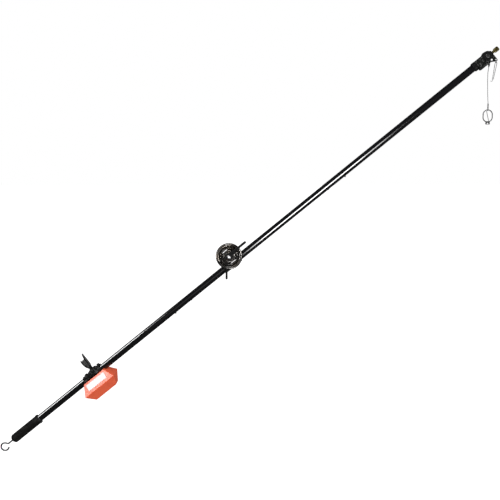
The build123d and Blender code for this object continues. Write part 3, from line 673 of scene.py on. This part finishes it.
def tilt_handle_pieces():
    """Hub on the bolt, and an arm that tapers and runs a little above the pivot."""
    low, high = span("tilt_handle")
    hub = [(0, DISC_BORE), (0, 12.8), (3.8, 13.2), (8.3, 12.6), (10.5, 11.2), (11.3, 9.6),
           (11.3, DISC_BORE)]
    place = at(0, high.y, 0, TOWARDS_CAMERA)
    make_piece("tilt_handle_hub", lathe(rounded(hub, 1.2), 96), place, "tilt_handle")
    tip = high.x
    rise = 4.5
    forward = 2.3                   # of the arm, from the handle's middle
    arm_y = (low.y + high.y) / 2 - forward
    arm = smooth_sections([
        ((7, 2.6), 8.4, 3.2), ((18, 3.2), 7.0, 3.4), ((34, rise - 0.3), 4.9, 3.5),
        ((54, rise), 4.2, 3.6), ((tip - 8, rise), 4.4, 3.8), ((tip - 3, rise), 4.0, 3.4),
        ((tip - 0.8, rise), 2.6, 2.2), ((tip, rise), 1.0, 0.8),
    ])
    make_piece("tilt_handle_arm", loft(arm), at(0, arm_y, 0), "tilt_handle")


def dome_nut_piece():
    low, high = span("dome_nut")
    depth = high.y - low.y
    r = high.x
    skirt = 0.9
    dome = [(0, r), (skirt, r)]
    dome += [(skirt + (depth - skirt) * math.sin(a), r * math.cos(a) ** 0.8)
             for a in (math.radians(d) for d in range(8, 90, 8))]
    dome += [(depth, 0)]
    make_piece("dome_nut_turned", lathe([(0, 0)] + dome, 64),
               at(0, high.y, 0, TOWARDS_CAMERA), "dome_nut")


def slide_lever_piece():
    """Flat lever that hangs straight down from behind the disc."""
    joint = Vector(JOINTS["slide_lock_turn"]["pos_m"])
    low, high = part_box("slide_lever")
    reach = (joint.z - low.z) / MM
    thick = (high.y - low.y) / MM
    scale = Matrix.Scale(MM, 4)
    place = Matrix.Translation((joint.x, high.y, joint.z)) @ TOWARDS_CAMERA @ scale
    hub = [(0, 4), (0, 7), (thick, 7), (thick, 4)]
    make_piece("slide_lever_hub", lathe(rounded(hub, 0.7), 64), place, "slide_lever")
    arm = smooth_sections([
        ((0, -4), 4.6, 3.0), ((0, -14), 3.9, 3.0), ((0, -26), 3.6, 2.9),
        ((0, -reach + 7), 3.9, 3.1), ((0, -reach + 2), 3.4, 2.7), ((0, -reach), 1.4, 1.2),
    ])
    place = Matrix.Translation((joint.x, (high.y + low.y) / 2, joint.z)) @ scale
    make_piece("slide_lever_arm", loft(arm), place, "slide_lever")


# --- grip and hook ---------------------------------------------------------
def hand_grip_piece():
    """Rubber grip with shallow flutes between plain bands and a collar in front."""
    low, high = span("hand_grip")
    axis_z = (low.z + high.z) / 2
    length = high.x - low.x
    r = 16.6
    collar = high.z - axis_z
    groove = 0.7
    flutes = 30
    flute_depth = 0.55
    start, end = 20.0, length - 22.0
    outline = rounded([(0, 4), (0, 10.5), (1.5, 13.4), (4.5, 15.6), (9, r)], 2.0, closed=False)
    outline += [(x, r) for x in (12, 14)] + [(14.6, r - groove), (15.6, r - groove), (16.2, r)]
    outline += [(start + (end - start) * i / 24, r) for i in range(25)]
    outline += [(length - 17, r), (length - 16.4, r - groove),
                (length - 15.4, r - groove), (length - 14.8, r), (length - 8, r),
                (length - 7, collar), (length - 1.5, collar), (length - 0.2, r),
                (length, 11.6), (4.7, 11.6), (4.7, 4)]

    def fluted(x, radius, angle):
        if radius < r - 0.01 or not start <= x <= end:
            return 0.0
        ends = min(1.0, (x - start) / 5, (end - x) / 5)
        return -flute_depth * ends * (0.5 + 0.5 * math.cos(flutes * angle)) ** 2

    grip = lathe(outline, flutes * 8, fluted)
    make_piece("hand_grip_moulded", grip, at(low.x, 0, axis_z), "hand_grip", crease=28)


def hook_piece():
    """Open screw hook with a domed tip."""
    low, high = span("hook")
    tube = span("rear_tube")
    axis_z = (tube[0].z + tube[1].z) / 2
    wire = 3.0
    bowl = 14.5
    drop = -1.0                     # of the bowl's centre, above the shank's axis
    bend = 8.0
    sweep = 286
    centre_x = low.x + bowl + wire
    run = math.sqrt((bowl + bend) ** 2 - (bend - drop) ** 2)
    start = math.degrees(math.atan2(bend - drop, run))
    shank = [Vector((high.x - (high.x - centre_x - run) * i / 12, 0, 0)) for i in range(12)]
    neck = arc((centre_x + run, bend), bend, -90, start - 180, 10)
    round_part = arc((centre_x, drop), bowl, start, start + sweep, 56)
    path = shank + neck + round_part[1:]
    make_piece("hook_bent", swept(path, wire, 24, (False, True)), at(0, 0, axis_z), "hook")


# --- counterweight ---------------------------------------------------------
def wing_handle():
    """Wing handle: one long and one short wing, joined by a thin web."""
    low = span("weight_wing")[0]
    stud_r = 4.0
    stem_x = span("weight_wing_stud")[0].x + stud_r
    turn = math.radians(47)
    place = at(stem_x, 0, low.z, Matrix.Rotation(turn, 4, "Z"))
    hub = [(0, 4), (0, 7.4), (8, 7.0), (13, 5.6), (14, 4.2), (14, 0)]
    make_piece("wing_hub", lathe(rounded(hub, 0.8, closed=False), 64), place @ UPWARDS,
               "weight_wing")
    blades = {
        "long": [((1.5, 5), 5.0, 3.6), ((4.5, 16), 6.2, 4.4), ((6.0, 30), 6.0, 4.2),
                 ((7.5, 44), 5.0, 3.6), ((9.5, 56), 3.4, 2.8), ((10.6, 62), 1.8, 1.6),
                 ((10.8, 63.4), 0.7, 0.7)],
        "short": [((-1.5, 5), 5.0, 3.6), ((-6.5, 14), 6.4, 4.4), ((-10.5, 26), 6.0, 4.2),
                  ((-12.6, 37), 4.4, 3.4), ((-13.6, 44), 2.2, 2.0), ((-13.8, 46), 0.8, 0.8)],
        "web": [((-1, 6), 5.0, 2.0), ((-3, 20), 7.0, 1.9), ((-3.4, 32), 7.4, 1.7),
                ((-3.4, 40), 6.4, 1.4), ((-3.4, 43), 4.0, 0.8)],
    }
    for name, sections in blades.items():
        make_piece("wing_" + name, loft(smooth_sections(sections), 28), place, "weight_wing")


def label_rule():
    """Thin grey rule printed just inside the label's edge."""
    low, high = span("weight_label")
    facet_wider, facet_lower = 22.5, 39.0
    lean = math.atan2(facet_wider, facet_lower)
    width, height = 82.0, 24.0
    half_label = 0.4
    print_lift, print_thick = 0.03, 0.06
    out = Vector((0, -math.cos(lean), math.sin(lean)))
    centre = (low + high) / 2 + out * (half_label + print_lift)
    bm = bmesh.new()
    loops = []
    for inset in (1.3, 2.1):
        w, h = width / 2 - inset, height / 2 - inset
        corners = rounded([(-w, -h), (w, -h), (w, h), (-w, h)], 1.6)
        loops.append(([bm.verts.new((u, v, 0.0)) for u, v in corners],
                      [bm.verts.new((u, v, print_thick)) for u, v in corners]))
    (outer_low, outer_high), (inner_low, inner_high) = loops
    for a, b in ((outer_low, outer_high), (outer_high, inner_high), (inner_high, inner_low),
                 (inner_low, outer_low)):
        bridge(bm, a, b)
    place = at(*centre, Matrix.Rotation(math.radians(90) - lean, 4, "X"))
    make_piece("label_rule", bm, place, None, body="weight", slot="white_label",
               material=label_grey())


# --- head ------------------------------------------------------------------
def head_knob_piece():
    """Round knob with fluted rim and a dished face."""
    low, high = span("head_knob")
    x = (low.x + high.x) / 2
    z = (low.z + high.z) / 2
    r = 17.0
    flutes = 18
    flute_depth = 1.1
    outline = [(0, 3), (0, 14.5), (2, r), (9, r), (11.5, 15), (12, 12), (11, 8), (11, 7.2),
               (8, 7.2), (8, 3)]

    def fluted(distance, radius, angle):
        if radius < 14.6:
            return 0.0
        return -flute_depth * (0.5 + 0.5 * math.cos(flutes * angle)) ** 3

    knob = lathe(rounded(outline, 1.4), flutes * 10, fluted)
    make_piece("head_knob_moulded", knob, at(x, high.y, z, TOWARDS_CAMERA), "head_knob")

    low, high = span("head_knob_cap")
    depth = high.y - low.y
    cap_r = (high.x - low.x) / 2
    cap = [(-1.5, 0), (-1.5, cap_r - 0.2), (0, cap_r)]
    cap += [(depth * math.sin(a), cap_r * math.cos(a)) for a in
            (math.radians(d) for d in range(10, 90, 10))]
    cap += [(depth, 0)]
    make_piece("head_knob_disc", lathe(cap, 64), at(x, high.y, z, TOWARDS_CAMERA),
               "head_knob_cap")


def collar_piece():
    low, high = span("head_collar")
    z = (low.z + high.z) / 2
    length = high.x - low.x
    inner = 12.6
    outline = rounded([(0, inner), (0, 14.5), (2, 16), (length - 3, 16), (length, 14.8),
                       (length, inner)], 1.0)
    make_piece("head_collar_turned", lathe(outline, 96), at(low.x, 0, z), "head_collar")


def lamp_stud_piece():
    """Brass stud: waisted, chamfered, with a thread in its end."""
    low, high = span("lamp_stud")
    z = (low.z + high.z) / 2
    length = high.x - low.x
    land = 16.0                     # the full-size end that a lamp clamps on
    r = (high.z - low.z) / 2
    shank = 6.0
    waist = 4.8
    chamfer = 1.2
    outline = [(0, 0), (0, shank), (length - 26.4, shank), (length - 25.6, waist),
               (length - 19, waist), (length - land, r), (length - chamfer, r),
               (length, r - chamfer), (length, 3.9)]
    outline = rounded(outline, 0.5, closed=False)
    pitch = 1.27
    thread = 0.45
    bore = 3.2
    for i in range(14):
        outline.append((length - 0.5 - pitch * i / 2, bore if i % 2 else bore + thread))
    outline += [(length - 10, bore), (length - 10, 0)]
    make_piece("lamp_stud_turned", lathe(outline, 72), at(low.x, 0, z), "lamp_stud")


# --- light and floor -------------------------------------------------------
def shine_on(lamp, names, state="INCLUDE"):
    """Let a lamp light only the named pieces, or everything but them."""
    group = bpy.data.collections.new(lamp.name + "_pieces")
    for name in names:
        group.objects.link(frame["nodes"].get(name) or bpy.data.objects[name])
    lamp.light_linking.receiver_collection = group
    for entry in group.collection_objects:
        entry.light_linking.link_state = state


def panel(name, place, facing, along, size, radiance):
    """Area light of a given radiance that shows in gloss only, never on matt surfaces."""
    data = bpy.data.lights.new(name, "AREA")
    data.shape = "RECTANGLE"
    data.size, data.size_y = size
    data.energy = radiance * math.pi * data.size * data.size_y
    lamp = bpy.data.objects.new(name, data)
    turn = Matrix((along, facing.cross(along), facing)).transposed().to_4x4()
    lamp.matrix_world = Matrix.Translation(place) @ turn
    lamp.visible_camera = False
    lamp.visible_diffuse = False
    bpy.context.scene.collection.objects.link(lamp)
    return lamp


def softbox(name, start, end, lift, distance, width, radiance):
    """Panel parallel to the boom, from start to end along it in millimetres.

    It is distance metres from the tube, and lift is its angle in degrees above the
    camera's side."""
    lift = math.radians(lift)
    aim = BOOM @ Vector(((start + end) / 2, 0, TUBE_Z))
    away = -math.cos(lift) * ACROSS + math.sin(lift) * UP
    return panel(name, aim + away * distance, away, ALONG, ((end - start) * MM, width),
                 radiance)


def disc_lights():
    """Four panels round the pivot, for the highlights on the disc's turned edges."""
    off = math.radians(58)          # off the line from the disc to the camera
    distance = 1.3
    width = 0.3
    panels = (("left", 188, 16, 0.5), ("top", 92, 11, 0.7),
              ("right", 8, 30, 0.5), ("bottom", -80, 20, 0.5))
    for name, angle, radiance, length in panels:
        angle = math.radians(angle)
        out = Vector((math.cos(angle), 0, math.sin(angle)))
        away = math.cos(off) * -ACROSS + math.sin(off) * out
        lamp = panel("disc_" + name, PIVOT + away * distance, away, out.cross(ACROSS),
                     (length, width), radiance)
        shine_on(lamp, ("pivot_disc_turned", "disc_keys_soft"))
    away = Vector((0.1, -1, -0.15)).normalized()
    lamp = panel("nut_front", PIVOT + away * 1.6, away, Vector((1, 0, 0)), (1.3, 1.0), 2.4)
    shine_on(lamp, ("dome_nut_turned", "disc_keys_soft"))


def key_light(name, place, size, power):
    """Square soft light on the whole arm that leaves no highlight in gloss."""
    data = bpy.data.lights.new(name, "AREA")
    data.size = size
    data.energy = power
    lamp = bpy.data.objects.new(name, data)
    lamp.location = PIVOT + Vector(place)
    lamp.rotation_euler = (PIVOT - lamp.location).to_track_quat("-Z", "Y").to_euler()
    lamp.visible_camera = False
    lamp.visible_glossy = False
    bpy.context.scene.collection.objects.link(lamp)


def light_the_scene():
    """Long strips for the tubes' highlights, softer boxes for the rest.

    A softbox call gives its name, start, end, lift, distance, width and radiance."""
    tubes = ("rear_tube", "center_tube", "front_tube")
    shine_on(softbox("rear_strip", -1500, -660, 79, 1.0, 0.26, 34.0), tubes)
    shine_on(softbox("rear_fade", -1500, -520, 79, 1.0, 0.22, 8.0), tubes)
    shine_on(softbox("front_strip", 50, 660, -5, 1.0, 0.46, 38.0), tubes)
    shine_on(softbox("front_fade", -30, 800, -5, 1.0, 0.46, 14.0), tubes)
    shine_on(softbox("sheen", -1500, 1300, 62, 1.6, 0.7, 1.5), tubes, "EXCLUDE")
    shine_on(softbox("low_side", -300, 1400, -48, 1.6, 0.6, 1.6), tubes, "EXCLUDE")
    shine_on(softbox("weight_sheen", -1150, -620, 55, 1.2, 0.9, 7.0), ("counterweight_body",))
    shine_on(panel("wing_side", BOOM @ Vector((400, -250, 60)), ALONG, UP, (0.6, 0.6), 5.0),
             ("wing_long", "wing_short", "wing_web"))
    softbox("wall", -1100, 700, 6, 3.6, 1.3, 0.45)
    disc_lights()
    key_light("key", (-1.2, -2.9, 1.9), 1.4, 108.0)
    key_light("fill", (2.6, -1.9, 0.6), 1.6, 110.0)


def make_world():
    """White to the camera, softer in what it lights and darker in what gloss shows."""
    world = bpy.data.worlds.new("studio")
    world.use_nodes = True
    tree = world.node_tree
    background = tree.nodes["Background"]
    background.inputs["Color"].default_value = (1, 1, 1, 1)
    path = tree.nodes.new("ShaderNodeLightPath")

    def scaled(output, factor):
        node = tree.nodes.new("ShaderNodeMath")
        node.operation = "MULTIPLY"
        tree.links.new(path.outputs[output], node.inputs[0])
        node.inputs[1].default_value = factor
        return node.outputs[0]

    def added(a, b):
        node = tree.nodes.new("ShaderNodeMath")
        tree.links.new(a, node.inputs[0])
        tree.links.new(b, node.inputs[1])
        return node.outputs[0]

    seen = scaled("Is Camera Ray", 1.0)
    lit = scaled("Is Diffuse Ray", 0.5)
    mirrored = scaled("Is Glossy Ray", 0.06)
    tree.links.new(added(added(seen, lit), mirrored), background.inputs["Strength"])
    bpy.context.scene.world = world
    bpy.context.scene.view_settings.view_transform = "Standard"


def make_floor():
    """Plain pale floor, below all that the arm reaches when it tilts and slides."""
    drop = 1.1                      # below the arm's lowest point at rest
    bm = bmesh.new()
    bmesh.ops.create_grid(bm, x_segments=1, y_segments=1, size=30)
    mesh = bpy.data.meshes.new("floor")
    bm.to_mesh(mesh)
    bm.free()
    material = bpy.data.materials.new("floor")
    material.use_nodes = True
    shader = material.node_tree.nodes["Principled BSDF"]
    shader.inputs["Base Color"].default_value = (0.9, 0.9, 0.9, 1)
    shader.inputs["Roughness"].default_value = 0.9
    shader.inputs["Emission Color"].default_value = (1, 1, 1, 1)
    shader.inputs["Emission Strength"].default_value = 0.8
    mesh.materials.append(material)
    floor = bpy.data.objects.new("floor", mesh)
    floor.location = (0, 0, cad_box[0].z - drop)
    floor.visible_diffuse = False
    floor.visible_glossy = False
    floor.visible_shadow = False
    bpy.context.scene.collection.objects.link(floor)


# --- the whole -------------------------------------------------------------
SOFTENED = {                        # CAD nodes whose edges are rounded, by how much
    "stand_bracket": 0.8, "pivot_bolt": 0.5, "socket_knob": 0.9, "tube_clamp": 0.6,
    "clamp_plate": 0.7, "clamp_bolts": 0.35, "head_body": 0.5, "head_cover": 0.5,
    "head_lug": 0.4, "cover_screws": 0.2, "ring_clasp": 0.4, "wire_sleeve": 0.2,
    "disc_keys": 0.2,
}

make_camera()
hang_the_wire()
dress_cad_nodes()
pivot_disc_piece()
tilt_handle_pieces()
dome_nut_piece()
slide_lever_piece()
hand_grip_piece()
hook_piece()
wing_handle()
label_rule()
head_knob_piece()
collar_piece()
lamp_stud_piece()
for cad_node, edge in SOFTENED.items():
    softened(cad_node, edge)
light_the_scene()
make_world()
make_floor()
